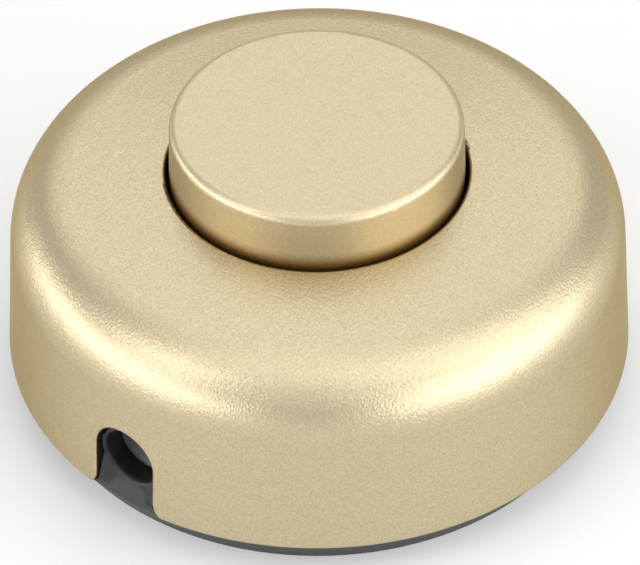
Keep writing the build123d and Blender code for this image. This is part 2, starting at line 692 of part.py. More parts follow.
def detent_spring():
    """Arched leaf that presses on the drum's lowest flat."""
    half = DETENT_STRIP / 2
    foot = carrier_top + half
    crown = axle_height - flats_radius - DETENT_CLEAR - half
    crown_half = flats_radius * math.tan(HALF_STEP)
    points = [
        (-DETENT_SPAN, foot),
        (-DETENT_SPAN + DETENT_FOOT, foot),
        (-crown_half, crown),
        (crown_half, crown),
        (DETENT_SPAN - DETENT_FOOT, foot),
        (DETENT_SPAN, foot),
    ]
    middle = (ratchet_half + drum_half) / 2
    face = strip_face(points, DETENT_BEND, DETENT_STRIP)
    return along_y(face, middle - DETENT_WIDTH / 2, middle + DETENT_WIDTH / 2)


# Contacts, terminals and clamps
def line_contact():
    """Bronze strip at +x: a blade beside the drum, a run along the carrier and a terminal pad."""
    middle = STRIP / 2
    half_pad = TERMINAL_SIZE[0] / 2
    points = [
        (terminal_x + half_pad, carrier_top + middle),
        (blade_x + middle, carrier_top + middle),
        (blade_x + middle, axle_height + BLADE_OVER_AXLE),
    ]
    half = STRIP_WIDTH / 2
    blade = along_y(strip_face(points, STRIP_BEND, STRIP), strip_y - half, strip_y + half)
    pad = block(
        (terminal_x - half_pad, terminal_x + half_pad),
        (terminal_y - TERMINAL_SIZE[1] / 2, strip_y),
        (carrier_top, terminal_low),
    )
    hole = bar_x(RIVET_SHANK + SCREW_SLACK, blade_x, blade_x + STRIP, strip_y, axle_height)
    return blade + pad - hole


def contact_rivets():
    """Two silver rivets in the blades, with domed heads towards the drum."""
    face = track_radius + CONTACT_CLEAR
    back = blade_x + STRIP
    line = TangentArc((face, 0), (blade_x - RIVET_EDGE, RIVET_RADIUS), tangent=(0, 1))
    line += Polyline(
        (blade_x - RIVET_EDGE, RIVET_RADIUS),
        (blade_x, RIVET_RADIUS),
        (blade_x, RIVET_SHANK),
        (back, RIVET_SHANK),
        (back, RIVET_RADIUS - RIVET_EDGE),
        (back + RIVET_TAIL, RIVET_RADIUS - RIVET_EDGE),
        (back + RIVET_TAIL, 0),
        (face, 0),
    )
    rivet = revolve(make_face(line), Axis.X)
    rivet = Pos(0, strip_y, axle_height) * rivet
    return Compound(children=[rivet, other_side(rivet)])


def terminal(length, screw_places):
    """Brass block with a wire bore along x and threaded holes for screws from above."""
    width, height = TERMINAL_SIZE[1:]
    shape = block((-length / 2, length / 2), (-width / 2, width / 2), (0, height))
    shape = chamfer(shape.edges().group_by(Axis.Z)[-1], TERMINAL_CHAMFER)
    shape -= bar_x(WIRE_RADIUS, -length / 2, length / 2, z=WIRE_HEIGHT)
    for x in screw_places:
        shape -= post(TERMINAL_SCREW_RADIUS + SCREW_SLACK, WIRE_HEIGHT, height, x, 0)
    return shape


def line_terminal():
    """Terminal at +x, on the pad of its contact strip."""
    return Pos(terminal_x, terminal_y, terminal_low) * terminal(TERMINAL_SIZE[0], [0])


def neutral_connector():
    """Through connector that stands on the carrier."""
    places = [-NEUTRAL_SCREW_X, NEUTRAL_SCREW_X]
    return Pos(0, neutral_y, carrier_top) * terminal(NEUTRAL_LENGTH, places)


def terminal_screws():
    """One screw in each line terminal and two in the neutral connector."""
    height = TERMINAL_SIZE[2]
    length = height - WIRE_HEIGHT
    one = screw(TERMINAL_SCREW_RADIUS, TERMINAL_SCREW_HEAD_RADIUS, TERMINAL_SCREW_HEAD, length)
    places = [(side * terminal_x, terminal_y, terminal_low + height) for side in (-1, 1)]
    places += [(side * NEUTRAL_SCREW_X, neutral_y, carrier_top + height) for side in (-1, 1)]
    return Compound(children=[Pos(*place) * one for place in places])


def cord_clamp():
    """Saddle at +x: two feet on the carrier's posts and an arch over the cord."""
    half = CLAMP_WIDTH / 2
    low, high = clamp_x - half, clamp_x + half
    reach = CLAMP_SCREW_Y + CLAMP_POST_RADIUS
    feet = block((low, high), (-reach, reach), (clamp_seat, clamp_seat + CLAMP_BAR))
    corners = feet.edges().filter_by(Axis.Z)
    feet = fillet(corners, CLAMP_ROUND)
    arch = bar_x(CORD_RADIUS + CLAMP_WALL, low, high, z=CORD_HEIGHT)
    arch -= block((low, high), (-reach, reach), (0, clamp_seat))
    shape = feet + arch - bar_x(CORD_RADIUS, low, high, z=CORD_HEIGHT)
    hole = post(CLAMP_SCREW_RADIUS + SCREW_HOLE_GAP, clamp_seat, clamp_seat + CLAMP_BAR, clamp_x)
    return shape - [Pos(0, y, 0) * hole for y in (-CLAMP_SCREW_Y, CLAMP_SCREW_Y)]


def clamp_screws():
    """Two screws in each cord clamp."""
    length = CLAMP_BAR + CLAMP_SCREW_REACH
    one = screw(CLAMP_SCREW_RADIUS, CLAMP_SCREW_HEAD_RADIUS, CLAMP_SCREW_HEAD, length)
    places = [(x, y) for x in (-clamp_x, clamp_x) for y in (-CLAMP_SCREW_Y, CLAMP_SCREW_Y)]
    return Compound(children=[Pos(x, y, clamp_seat + CLAMP_BAR) * one for x, y in places])


NODES = {
    "cover": cover(),
    "base": base(),
    "push_button": push_button(),
    "housing_screws": housing_screws(),
    "cord_bushing_out": cord_bushing(),
    "cord_bushing_in": other_side(cord_bushing()),
    "contact_carrier": contact_carrier(),
    "carrier_screws": carrier_screws(),
    "ratchet_drum": ratchet_drum(),
    "contact_star": contact_star(),
    "drum_axle": drum_axle(),
    "bearing_cap": bearing_cap(),
    "return_spring": return_spring(),
    "drive_pawl": drive_pawl(),
    "detent_spring": detent_spring(),
    "line_out_contact": line_contact(),
    "line_in_contact": other_side(line_contact()),
    "contact_rivets": contact_rivets(),
    "line_out_terminal": line_terminal(),
    "line_in_terminal": other_side(line_terminal()),
    "neutral_connector": neutral_connector(),
    "terminal_screws": terminal_screws(),
    "cord_clamp_out": cord_clamp(),
    "cord_clamp_in": other_side(cord_clamp()),
    "clamp_screws": clamp_screws(),
}

os.makedirs("parts", exist_ok=True)
for name, shape in NODES.items():
    export_step(shape, f"parts/{name}.step")
    volumes = [solid.volume for solid in shape.solids()]
    print(name, len(volumes), "solids", round(sum(volumes), 1), "mm3")
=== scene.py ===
# %% [markdown]
# # A foot switch for a lamp cord
#
# This lesson dresses a small inline foot switch: a round gold-lacquered housing that stands on a
# dark base, a large button on top, and a notch at each side where a lamp cord goes in and out.
# The housing, its screws and the ratchet inside come from a CAD model that is already in place.
# Blender adds what CAD leaves out: the camera and the light, the finishes, a round wire for the
# return spring and soft mouths for the bushings.
#
# The model arrives in metres, standing on z = 0, with x along the cord. Each CAD piece keeps its
# place.

import math

import bmesh
import bpy
from mathutils import Matrix, Vector


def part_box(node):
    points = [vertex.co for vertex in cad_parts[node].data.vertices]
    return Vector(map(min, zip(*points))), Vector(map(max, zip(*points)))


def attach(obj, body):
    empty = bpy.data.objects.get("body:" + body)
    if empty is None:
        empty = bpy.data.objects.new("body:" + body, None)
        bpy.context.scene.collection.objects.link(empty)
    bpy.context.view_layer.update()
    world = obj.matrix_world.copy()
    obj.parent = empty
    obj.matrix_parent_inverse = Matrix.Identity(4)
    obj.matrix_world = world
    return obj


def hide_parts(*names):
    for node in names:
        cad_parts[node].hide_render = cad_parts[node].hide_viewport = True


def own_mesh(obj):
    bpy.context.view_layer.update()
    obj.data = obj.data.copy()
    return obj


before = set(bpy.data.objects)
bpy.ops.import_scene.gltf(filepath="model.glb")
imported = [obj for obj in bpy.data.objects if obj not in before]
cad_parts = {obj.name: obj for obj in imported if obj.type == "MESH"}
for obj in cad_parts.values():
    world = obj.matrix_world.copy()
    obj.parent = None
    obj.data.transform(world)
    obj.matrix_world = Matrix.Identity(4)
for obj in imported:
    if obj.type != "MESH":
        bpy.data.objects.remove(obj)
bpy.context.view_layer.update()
MM = 0.001

# %% [markdown]
# ## Camera
#
# A product photograph like this one is taken with a long lens, so that the circles stay close to
# true ellipses. The camera stands left of the front, about 43 degrees up and 36 cm away, and it is
# held a little out of level. It could be aimed with a constraint, but a matrix built from its
# three axes says the same thing in one place and takes the small roll as well.

# %% Place the camera
CAMERA_AZIMUTH = math.radians(-52.3)
CAMERA_ELEVATION = math.radians(43.03)
CAMERA_ROLL = math.radians(0.635)
CAMERA_DISTANCE = 364.39 * MM
CAMERA_TARGET = Vector((0, 0, 10 * MM))
SENSOR_WIDTH, FOCAL_LENGTH = 36, 206.67   # in millimetres, as Blender's lenses take them
SHIFT_X, SHIFT_Y = 0.00248, -0.00999      # of the picture, as shares of its width


def direction_at(azimuth, elevation):
    """Unit vector at an azimuth from the front and an elevation, both in radians."""
    level = math.cos(elevation)
    return Vector((level * math.sin(azimuth), -level * math.cos(azimuth), math.sin(elevation)))


lens = bpy.data.cameras.new("long_lens")
lens.sensor_width = SENSOR_WIDTH
lens.lens = FOCAL_LENGTH
lens.shift_x = SHIFT_X
lens.shift_y = SHIFT_Y
camera = bpy.data.objects.new("camera", lens)
scene = bpy.context.scene
scene.collection.objects.link(camera)

back = direction_at(CAMERA_AZIMUTH, CAMERA_ELEVATION)
right = Vector((math.cos(CAMERA_AZIMUTH), math.sin(CAMERA_AZIMUTH), 0))
up = back.cross(right)
rolled_right = right * math.cos(CAMERA_ROLL) - up * math.sin(CAMERA_ROLL)
rolled_up = up * math.cos(CAMERA_ROLL) + right * math.sin(CAMERA_ROLL)
turn = Matrix((rolled_right, rolled_up, back)).transposed()
camera.matrix_world = Matrix.Translation(CAMERA_TARGET + back * CAMERA_DISTANCE) @ turn.to_4x4()
scene.camera = camera
print("camera at", [round(value, 3) for value in camera.matrix_world.translation])

# %% [markdown]
# ## Colours and nodes
#
# Every colour below is written as it would be in a paint chart, in sRGB hex. Blender's shaders work
# in linear light, so one function turns the one into the other. A second one adds a shader node,
# sets its properties and inputs and makes its links. An input that is given a socket is linked, and
# one that is given a value is set. Inputs go by name, or by number where several share one: a Mix
# node has its share at 0, the two numbers that it mixes at 2 and 3, and the two colours at 6 and 7.

# %% Colour and node helpers
def linear(hex_colour):
    """Linear RGBA of an sRGB hex colour."""
    channels = [int(hex_colour[i : i + 2], 16) / 255 for i in (1, 3, 5)]
    return [c / 12.92 if c <= 0.04045 else ((c + 0.055) / 1.055) ** 2.4 for c in channels] + [1]


def add_node(tree, kind, inputs=None, **settings):
    """New node of a kind, with its settings, and its inputs set or linked."""
    node = tree.nodes.new(kind)
    for name, value in settings.items():
        setattr(node, name, value)
    for name, value in (inputs or {}).items():
        if isinstance(value, bpy.types.NodeSocket):
            tree.links.new(value, node.inputs[name])
        else:
            node.inputs[name].default_value = value
    return node


def new_material(name):
    """Material with an empty node tree, and the tree."""
    material = bpy.data.materials.new(name)
    material.use_nodes = True
    material.node_tree.nodes.clear()
    return material, material.node_tree


print("white is", linear("#ffffff"), "mid grey is", [round(c, 3) for c in linear("#808080")])

# %% [markdown]
# ## Room
#
# Satin metal shows its surroundings more than its own colour, so the room comes before the finishes.
# The switch stands on a white table in a white room with a dimmer ceiling. The room could be
# modelled with walls; here the world does that, with a brightness that depends on the height of the
# direction. Rays from the camera, and those that metal or glass sends on, see the walls. Matt
# surfaces get an even, weaker light from the world, because most of theirs comes from the lamps.

# %% Room
ROOM_LIGHT = 0.35          # on matt surfaces, where 1 is white
WALL, CEILING = 1.0, 0.70  # as metal shows them
WALL_TOP, CEILING_EDGE = 0.03, 0.26  # heights of a direction, as the sine of its elevation


def seen_rays(tree):
    """1 for rays from the camera and for those that metal or glass sends on, 0 for diffuse light."""
    rays = add_node(tree, "ShaderNodeLightPath").outputs
    seen = rays["Is Camera Ray"]
    for kind in ("Is Glossy Ray", "Is Transmission Ray"):
        seen = add_node(
            tree, "ShaderNodeMath", {0: seen, 1: rays[kind]}, operation="MAXIMUM"
        ).outputs[0]
    return seen


scene.view_settings.view_transform = "Standard"
room = bpy.data.worlds.new("white_room")
scene.world = room
room.use_nodes = True
tree = room.node_tree
tree.nodes.clear()
direction = add_node(tree, "ShaderNodeTexCoord").outputs["Generated"]
height = add_node(tree, "ShaderNodeSeparateXYZ", {"Vector": direction}).outputs["Z"]
walls = add_node(
    tree,
    "ShaderNodeMapRange",
    {"Value": height, "From Min": WALL_TOP, "From Max": CEILING_EDGE, "To Min": WALL, "To Max": CEILING},
    interpolation_type="SMOOTHSTEP",
).outputs["Result"]
strength = add_node(
    tree, "ShaderNodeMix", {0: seen_rays(tree), 2: ROOM_LIGHT, 3: walls}, data_type="FLOAT"
).outputs[0]
surround = add_node(tree, "ShaderNodeBackground", {"Strength": strength}).outputs[0]
add_node(tree, "ShaderNodeOutputWorld", {"Surface": surround})
print("room:", room.name, "with a ceiling at", CEILING, "of the walls")

# %% [markdown]
# ## Lamps
#
# Large soft boxes stand round the switch. Two low and wide ones, left and right of the camera, draw
# the bright bands on the rounded shoulder; three higher ones widen them and light the button's side,
# and the last two, behind and overhead, fill the top. Only a weak one stands behind the camera, which
# leaves the front of the shoulder calmer. A spot lamp would give hard glints on the grain, so all are
# area lamps. Each is given by the brightness of its face, in the scale where 1 is white: a square
# metre takes 4 watts.

# %% Lamps
LAMP_DISTANCE = 0.70   # in metres, from the middle of the switch
WATTS_PER_AREA = 4
# azimuth from the camera and elevation in degrees, width and height in metres, brightness
SOFT_BOXES = {
    "low_left_lamp": (-73, 10, 1.36, 0.32, 2.05),
    "low_right_lamp": (62, 11, 1.10, 0.34, 1.90),
    "left_lamp": (-60, 44, 0.40, 0.30, 1.90),
    "right_lamp": (66, 33, 0.90, 0.40, 0.98),
    "high_right_lamp": (66, 54, 0.60, 0.40, 0.85),
    "front_lamp": (0, 42, 0.50, 0.36, 0.40),
    "back_lamp": (180, 42, 1.00, 0.44, 0.66),
    "overhead_lamp": (0, 90, 0.70, 0.70, 0.72),
}

for name, (azimuth, elevation, width, tall, brightness) in SOFT_BOXES.items():
    light = bpy.data.lights.new(name, "AREA")
    light.shape = "RECTANGLE"
    light.size = width
    light.size_y = tall
    light.energy = WATTS_PER_AREA * width * tall * brightness
    lamp = bpy.data.objects.new(name, light)
    scene.collection.objects.link(lamp)
    towards = direction_at(CAMERA_AZIMUTH + math.radians(azimuth), math.radians(elevation))
    lamp.location = CAMERA_TARGET + towards * LAMP_DISTANCE
    lamp.rotation_euler = towards.to_track_quat("Z", "Y").to_euler()
    print(name, round(light.energy, 2), "W")

# %% [markdown]
# ## Table
#
# The table is a single large plane, pale and matt. The camera sees a little white added to it,
# which lifts it to the white of the room and leaves the soft shadow under the switch.

# %% Table
TABLE_HALF = 3.0           # in metres
TABLE_COLOUR = "#d2d2d2"
TABLE_LIFT = 0.27          # white that the camera sees added

mesh = bpy.data.meshes.new("table")
corners = [(-1, -1), (1, -1), (1, 1), (-1, 1)]
mesh.from_pydata([(x * TABLE_HALF, y * TABLE_HALF, 0) for x, y in corners], [], [(0, 1, 2, 3)])
table = bpy.data.objects.new("table", mesh)
scene.collection.objects.link(table)
pale, tree = new_material("matt_white_table")
lift = add_node(
    tree, "ShaderNodeMath", {0: seen_rays(tree), 1: TABLE_LIFT}, operation="MULTIPLY"
).outputs[0]
glow = add_node(tree, "ShaderNodeEmission", {"Strength": lift}).outputs[0]
matt = add_node(tree, "ShaderNodeBsdfDiffuse", {"Color": linear(TABLE_COLOUR)}).outputs[0]
both = add_node(tree, "ShaderNodeAddShader", {0: matt, 1: glow}).outputs[0]
add_node(tree, "ShaderNodeOutputMaterial", {"Surface": both})
mesh.materials.append(pale)
print("table", 2 * TABLE_HALF, "m wide")

# %% [markdown]
# ## Gold lacquer: where the gun reaches
#
# Cover and button are moulded in black ABS and sprayed with a satin gold lacquer. The gun only reaches
# faces that look up, or outwards on the outer skin, so the lacquer ends in a ragged fringe on the
# rounded edges of notches and hole. A painted mask could say where it is; here the faces' own
# direction does, so it holds for any size of the part.

# %% Reach of the spray gun
FRINGE = 0.3 * MM          # across a tooth of the lacquer's ragged edge
FRINGE_SHARE = 0.35        # how much the ragged noise adds to the direction of a face


def reach_of_gun(tree, place, skin_radius):
    """Value that grows as a face looks up, or outwards beyond a radius, with a ragged noise."""
    normal = add_node(tree, "ShaderNodeNewGeometry").outputs["True Normal"]
    flat = add_node(
        tree, "ShaderNodeVectorMath", {0: place, 1: (1, 1, 0)}, operation="MULTIPLY"
    ).outputs[0]
    radius = add_node(tree, "ShaderNodeVectorMath", {0: flat}, operation="LENGTH").outputs["Value"]
    outward = add_node(tree, "ShaderNodeVectorMath", {0: flat}, operation="NORMALIZE").outputs[0]
    side = add_node(
        tree, "ShaderNodeVectorMath", {0: normal, 1: outward}, operation="DOT_PRODUCT"
    ).outputs["Value"]
    beyond = add_node(
        tree, "ShaderNodeMath", {0: radius, 1: skin_radius}, operation="GREATER_THAN"
    ).outputs[0]
    side = add_node(tree, "ShaderNodeMath", {0: side, 1: beyond}, operation="MULTIPLY").outputs[0]
    upward = add_node(tree, "ShaderNodeSeparateXYZ", {"Vector": normal}).outputs["Z"]
    facing = add_node(tree, "ShaderNodeMath", {0: side, 1: upward}, operation="MAXIMUM").outputs[0]
    ragged = add_node(
        tree, "ShaderNodeTexNoise", {"Vector": place, "Scale": 1 / FRINGE, "Detail": 3}
    ).outputs[0]
    return add_node(
        tree, "ShaderNodeMath", {0: ragged, 1: FRINGE_SHARE, 2: facing}, operation="MULTIPLY_ADD"
    ).outputs[0]


print("fringe:", round(FRINGE / MM, 2), "mm")

# %% [markdown]
# ## Gold lacquer: grain and flakes
#
# The mould was spark-eroded, which leaves a fine leathery grain about a quarter of a millimetre
# across, and the lacquer carries metal flakes in a golden binder. The eye gets three things from
# that: a soft metallic gleam that follows the light, the grain that breaks the gleam up, and a fine
# sparkle of single flakes. The grain could be modelled, but at this scale a bump is enough. Because
# a bump throws no shadow, the hollows are also drawn darker and the ridges lighter, and more so
# the deeper the grain is.

# %% Grain and flakes
FLAKE = 0.13 * MM                    # drawn coarser than the real flakes, which are too fine to show
# each flake is painted a little lighter or darker, as a painted glint
FLAKE_GLINT = 0.06                   # share by which a flake is lighter or darker than the mean
GRAIN_LOW, GRAIN_HIGH = 0.3, 0.7     # of the grain's noise, at the hollows and at the ridges
HOLLOW_LOSS, RIDGE_GAIN = 2.6 / MM, 1.6 / MM   # light lost and gained per depth of the grain


def grain_and_flakes(tree, place, grain_width, grain_depth):
    """Bump of the grain, a number from 0 to 1 for each flake, and the painted shade and glints of both.
    """
    grain = add_node(
        tree, "ShaderNodeTexNoise", {"Vector": place, "Scale": 1 / grain_width, "Detail": 1}
    ).outputs[0]
    bump = add_node(tree, "ShaderNodeBump", {"Height": grain, "Distance": grain_depth}).outputs[0]
    flakes = add_node(
        tree, "ShaderNodeTexVoronoi", {"Vector": place, "Scale": 1 / FLAKE}
    ).outputs["Color"]
    flake = add_node(tree, "ShaderNodeSeparateXYZ", {"Vector": flakes}).outputs["X"]
    hollows = add_node(
        tree,
        "ShaderNodeMapRange",
        {
            "Value": grain,
            "From Min": GRAIN_LOW,
            "From Max": GRAIN_HIGH,
            "To Min": 1 - HOLLOW_LOSS * grain_depth,
            "To Max": 1 + RIDGE_GAIN * grain_depth,
        },
    ).outputs["Result"]
    glints = add_node(
        tree,
        "ShaderNodeMapRange",
        {"Value": flake, "To Min": 1 - FLAKE_GLINT, "To Max": 1 + FLAKE_GLINT},
    ).outputs["Result"]
    shade = add_node(
        tree, "ShaderNodeMath", {0: hollows, 1: glints}, operation="MULTIPLY"
    ).outputs[0]
    return bump, flake, shade


print("flakes:", round(FLAKE / MM, 2), "mm")

# %% [markdown]
# ## Gold lacquer: the finish
#
# The flakes give most of the light, like a metal, and the binder scatters the rest. The binder
# absorbs more of the light that leaves at a flat angle, which the tint of the metal's rim gives.
# Where the spray is thin the binder looks brown, as along the fringe, and where there is none the
# bare ABS shows. Where the button's side goes down into the hole, the same brown is painted shade.
# Two shaders could be mixed; one shader whose colour, metal share and roughness are mixed looks the
# same and travels better to other programs. The button comes from a finer mould than the cover,
# with more binder on its flakes.

# %% Lacquered ABS
# the second colour is the brown of a thin film, and also painted shade where the button's side goes down
# into the hole
GOLD, THIN_AND_SHADED_GOLD, GOLD_RIM, BARE_ABS = "#cabc9c", "#8b6a38", "#c2b496", "#1c1c1b"
BARE_TO_COVERED = (0.40, 0.60)       # reach of the gun where the lacquer begins, and where it closes
THIN_TO_FULL = (0.55, 0.95)          # reach of the gun for a brown film, and for a golden one
BARE_ROUGHNESS = 0.55
DULL_FLAKE, BRIGHT_FLAKE = 0.43, 0.31   # roughness of the lacquer


def lacquered_abs(name, grain_width, grain_depth, flakiness, skin_radius, painted_shade_low, painted_shade_top):
    """Gold lacquer on black ABS, bare out of the gun's reach, with painted shade in brown below a height.
    """
    material, tree = new_material(name)
    place = add_node(tree, "ShaderNodeTexCoord").outputs["Object"]
    sprayed = reach_of_gun(tree, place, skin_radius)
    bump, flake, shade = grain_and_flakes(tree, place, grain_width, grain_depth)
    height = add_node(tree, "ShaderNodeSeparateXYZ", {"Vector": place}).outputs["Z"]
    steps = [(sprayed, BARE_TO_COVERED), (sprayed, THIN_TO_FULL), (height, (painted_shade_low, painted_shade_top))]
    covered, film_and_shade, out_of_shade = (
        add_node(
            tree,
            "ShaderNodeMapRange",
            {"Value": value, "From Min": start, "From Max": end},
            interpolation_type="SMOOTHSTEP",
        ).outputs["Result"]
        for value, (start, end) in steps
    )
    # the brown of a thin film, and below a height painted shade where the button's side goes down into
    # the hole
    film_and_shade = add_node(tree, "ShaderNodeMath", {0: film_and_shade, 1: out_of_shade}, operation="MULTIPLY").outputs[0]
    gold = add_node(
        tree, "ShaderNodeMix", {0: film_and_shade, 6: linear(THIN_AND_SHADED_GOLD), 7: linear(GOLD)}, data_type="RGBA"
    ).outputs[2]
    gold = add_node(
        tree, "ShaderNodeVectorMath", {0: gold, "Scale": shade}, operation="SCALE"
    ).outputs[0]
    colour = add_node(
        tree, "ShaderNodeMix", {0: covered, 6: linear(BARE_ABS), 7: gold}, data_type="RGBA"
    ).outputs[2]
    satin = add_node(
        tree, "ShaderNodeMapRange", {"Value": flake, "To Min": DULL_FLAKE, "To Max": BRIGHT_FLAKE}
    ).outputs["Result"]
    polish = add_node(
        tree, "ShaderNodeMix", {0: covered, 2: BARE_ROUGHNESS, 3: satin}, data_type="FLOAT"
    ).outputs[0]
    metallic = add_node(
        tree, "ShaderNodeMath", {0: covered, 1: flakiness}, operation="MULTIPLY"
    ).outputs[0]
    skin = add_node(
        tree,
        "ShaderNodeBsdfPrincipled",
        {
            "Base Color": colour,
            "Metallic": metallic,
            "Roughness": polish,
            "Specular Tint": linear(GOLD_RIM),
            "Normal": bump,
        },
    ).outputs[0]
    add_node(tree, "ShaderNodeOutputMaterial", {"Surface": skin})
    return material


finishes = {
    "cover": lacquered_abs(
        "satin_gold_lacquer_on_cover",
        grain_width=0.24 * MM,
        grain_depth=0.038 * MM,
        flakiness=0.97,
        skin_radius=20 * MM,
        painted_shade_low=-2 * MM,
        painted_shade_top=-1 * MM,
    ),
    "push_button": lacquered_abs(
        "satin_gold_lacquer_on_button",
        grain_width=0.20 * MM,
        grain_depth=0.021 * MM,
        flakiness=0.80,
        skin_radius=13 * MM,
        # from this height up to the next, the side is painted brown towards the hole, as painted shade
        painted_shade_low=24.5 * MM,
        painted_shade_top=26.2 * MM,
    ),
}
print("lacquered:", list(finishes))

# %% [markdown]
# ## Bare mouldings
#
# The other mouldings show their own plastic. Base and cord bushings are black ABS with a fine matt
# grain, whose broad sheen turns it grey where it looks at the light. Contact carrier and bearing cap
# are a pale polyamide that stands the heat of the contacts, the cord clamps the same in grey, both
# from plainer moulds and a little glossier. The drum is natural acetal, white and waxy, which slides
# well on steel. All four are one colour with a slight cloud in it, from the flow in the mould, so one
# function with different values does.

# %% Moulded plastics
CLOUD = 6 * MM             # across a patch of the slight cloud that the flow leaves
CLOUD_SHADE = 0.08         # share by which the cloud is lighter or darker
GRAIN_SHEEN = 0.06         # by which the grain raises or lowers the roughness


def moulded(name, colour, roughness, ior, grain, depth):
    """Plain moulded plastic: one colour with a slight cloud in it, and the grain of its mould."""
    material, tree = new_material(name)
    place = add_node(tree, "ShaderNodeTexCoord").outputs["Object"]
    cloud = add_node(
        tree, "ShaderNodeTexNoise", {"Vector": place, "Scale": 1 / CLOUD, "Detail": 2}
    ).outputs[0]
    shade = add_node(
        tree,
        "ShaderNodeMapRange",
        {"Value": cloud, "To Min": 1 - CLOUD_SHADE, "To Max": 1 + CLOUD_SHADE},
    ).outputs["Result"]
    tint = add_node(
        tree, "ShaderNodeVectorMath", {0: linear(colour)[:3], "Scale": shade}, operation="SCALE"
    ).outputs[0]
    speckle = add_node(
        tree, "ShaderNodeTexNoise", {"Vector": place, "Scale": 1 / grain, "Detail": 2}
    ).outputs[0]
    sheen = add_node(
        tree,
        "ShaderNodeMapRange",
        {"Value": speckle, "To Min": roughness - GRAIN_SHEEN, "To Max": roughness + GRAIN_SHEEN},
    ).outputs["Result"]
    bump = add_node(tree, "ShaderNodeBump", {"Height": speckle, "Distance": depth}).outputs[0]
    plastic = add_node(
        tree,
        "ShaderNodeBsdfPrincipled",
        {"Base Color": tint, "Roughness": sheen, "IOR": ior, "Normal": bump},
    ).outputs[0]
    add_node(tree, "ShaderNodeOutputMaterial", {"Surface": plastic})
    return material


# name, colour, roughness, IOR, and the width and depth of the grain
black_abs = moulded("spark_eroded_black_abs", "#151c1b", 0.50, 1.53, 0.25 * MM, 0.008 * MM)
pale_polyamide = moulded("moulded_pale_polyamide", "#c9cccb", 0.40, 1.53, 0.60 * MM, 0.002 * MM)
grey_polyamide = moulded("moulded_grey_polyamide", "#8d8f8e", 0.48, 1.53, 0.30 * MM, 0.006 * MM)
acetal = moulded("moulded_natural_acetal", "#e6e4dc", 0.34, 1.48, 0.50 * MM, 0.002 * MM)
for name in ("base", "cord_bushing_in", "cord_bushing_out"):
    finishes[name] = black_abs
for name in ("contact_carrier", "bearing_cap"):
    finishes[name] = pale_polyamide
for name in ("cord_clamp_in", "cord_clamp_out"):
    finishes[name] = grey_polyamide
finishes["ratchet_drum"] = acetal
print("mouldings:", [plastic.name for plastic in (black_abs, pale_polyamide, grey_polyamide, acetal)])

# %% [markdown]
# ## Bare metals
#
# Screws and axle are steel with a bright zinc plate, from a barrel that leaves it faintly clouded
# and blue. The coil is hard steel wire, drawn and dull; pawl and detent are strips of the same steel,
# rolled. Star, terminals and connector are stamped from brass strip, the blades of the contacts from
# phosphor bronze, redder and springy. All strips keep the fine lines of the rolls. The contact rivets
# are silver, cold-headed and a little tarnished. Each is one metal with fine marks and a cloud of
# tarnish, so they share a function. The marks are finer than a pixel on the real pieces, and are
# drawn coarse enough to show when the camera comes near.

# %% Metals
TARNISH = 1.8 * MM                           # across a patch of tarnish
CLEAN_NOISE, TARNISHED_NOISE = 0.40, 0.75    # of the tarnish's noise, where it begins and ends
MARK_SHEEN = 0.10                            # by which the marks raise or lower the roughness
MARK_DEPTH = 0.02                            # of a mark, as a share of its width
DRAWN_OUT = 0.08                             # width of a mark as a share of its length
EVEN, ALONG_X, ALONG_Z = (1, 1, 1), (DRAWN_OUT, 1, 1), (1, 1, DRAWN_OUT)


def worked_metal(name, colour, tarnished, roughness, mark, run):
    """Bare metal with working marks that run along an axis, and a faint cloud of tarnish."""
    material, tree = new_material(name)
    place = add_node(tree, "ShaderNodeTexCoord").outputs["Object"]
    along = add_node(tree, "ShaderNodeVectorMath", {0: place, 1: run}, operation="MULTIPLY").outputs[0]
    marks = add_node(
        tree, "ShaderNodeTexNoise", {"Vector": along, "Scale": 1 / mark, "Detail": 3}
    ).outputs[0]
    cloud = add_node(
        tree, "ShaderNodeTexNoise", {"Vector": place, "Scale": 1 / TARNISH, "Detail": 3}
    ).outputs[0]
    share = add_node(
        tree,
        "ShaderNodeMapRange",
        {"Value": cloud, "From Min": CLEAN_NOISE, "From Max": TARNISHED_NOISE},
    ).outputs["Result"]
    tint = add_node(
        tree, "ShaderNodeMix", {0: share, 6: linear(colour), 7: linear(tarnished)}, data_type="RGBA"
    ).outputs[2]
    polish = add_node(
        tree,
        "ShaderNodeMapRange",
        {"Value": marks, "To Min": roughness - MARK_SHEEN, "To Max": roughness + MARK_SHEEN},
    ).outputs["Result"]
    bump = add_node(tree, "ShaderNodeBump", {"Height": marks, "Distance": MARK_DEPTH * mark}).outputs[0]
    metal = add_node(
        tree,
        "ShaderNodeBsdfPrincipled",
        {"Base Color": tint, "Metallic": 1.0, "Roughness": polish, "Normal": bump},
    ).outputs[0]
    add_node(tree, "ShaderNodeOutputMaterial", {"Surface": metal})
    return material


# name, colour, colour of the tarnish, roughness, and the width and run of the marks
zinc = worked_metal("barrel_plated_zinc_on_steel", "#c4c8cb", "#a3a8ac", 0.30, 0.15 * MM, EVEN)
steel = worked_metal("drawn_spring_steel", "#a3a19d", "#6f6b66", 0.28, 0.10 * MM, EVEN)
strip_steel = worked_metal("rolled_spring_steel", "#a3a19d", "#6f6b66", 0.28, 0.12 * MM, ALONG_Z)
brass = worked_metal("stamped_brass", "#dcc078", "#b08f4e", 0.30, 0.12 * MM, ALONG_X)
bronze = worked_metal("rolled_phosphor_bronze", "#d2a581", "#a3714c", 0.30, 0.12 * MM, ALONG_X)
silver = worked_metal("headed_contact_silver", "#eeebe4", "#c2bcae", 0.26, 0.12 * MM, EVEN)
for name in ("housing_screws", "carrier_screws", "clamp_screws", "terminal_screws", "drum_axle"):
    finishes[name] = zinc
for name in ("drive_pawl", "detent_spring"):
    finishes[name] = strip_steel
